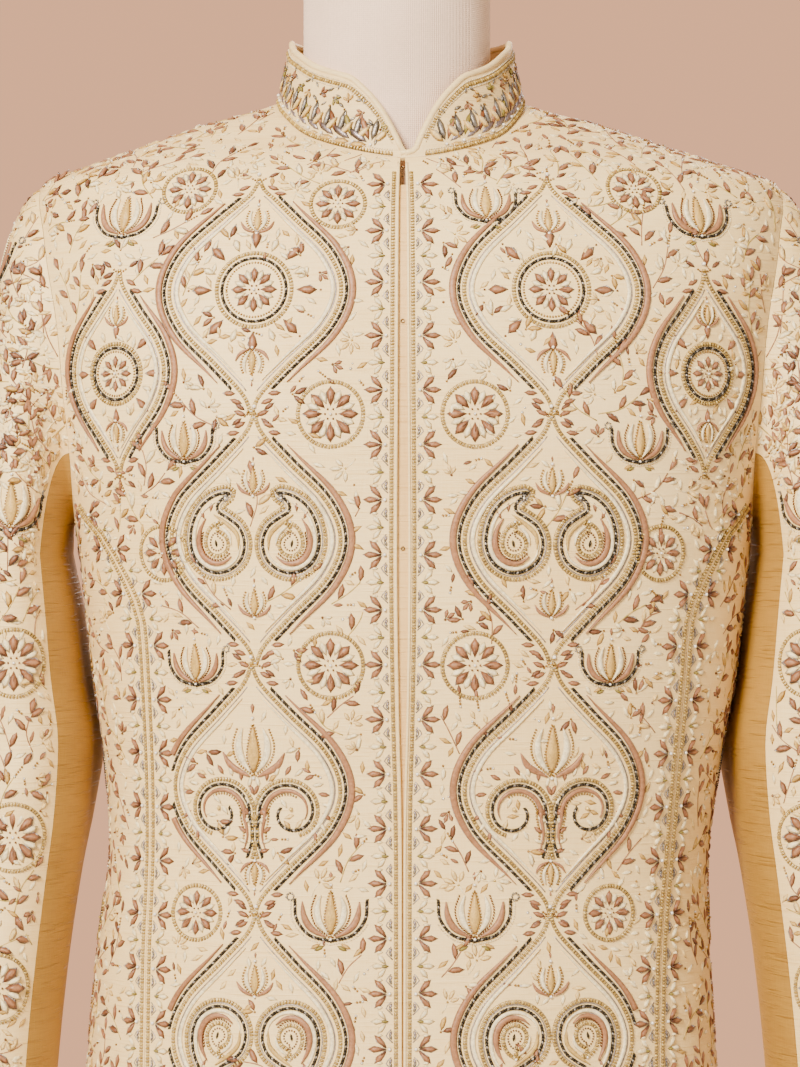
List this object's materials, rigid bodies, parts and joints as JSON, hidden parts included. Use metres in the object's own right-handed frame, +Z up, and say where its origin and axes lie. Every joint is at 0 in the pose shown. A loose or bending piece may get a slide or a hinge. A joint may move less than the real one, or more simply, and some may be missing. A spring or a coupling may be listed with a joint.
{
  "type": "embroidered sherwani coat on a limbless dress form",
  "caption": "Knee-length champagne silk sherwani coat, embroidered all over, with a stand-up collar and a hooked front placket, on a canvas dress form with a pole and a round base.",
  "frame": {"origin": "on the floor, under the middle of the outline of coat and stand", "axes": "+Z up, -Y the coat's front, +X the wearer's left"},
  "size_m": [0.582, 0.39, 1.6053],
  "materials": {
    "silk_embroidered": "raw silk with tone-on-tone embroidery",
    "silk_plain": "plain raw silk with slubs",
    "hook_metal": "darkened wire",
    "form_canvas": "stretched ribbed cloth",
    "form_wood": "satin varnish",
    "stand_metal": "satin"
  },
  "bodies": {
    "root": {"front_left": "silk_embroidered", "front_right": "silk_embroidered", "side_left": "silk_embroidered", "side_right": "silk_embroidered", "back_left": "silk_embroidered", "back_right": "silk_embroidered", "collar": "silk_embroidered", "sleeve_left_top": "silk_embroidered", "sleeve_right_top": "silk_embroidered", "sleeve_left_under": "silk_plain", "sleeve_right_under": "silk_plain", "placket_underlap": "silk_plain", "neck_hook": "hook_metal", "neck_eye": "hook_metal", "placket_eye_upper": "hook_metal", "placket_eye_lower": "hook_metal", "form_body": "form_canvas", "form_neck_cap": "form_wood", "form_pole": "stand_metal", "form_base": "stand_metal"}
  },
  "joints": []
}
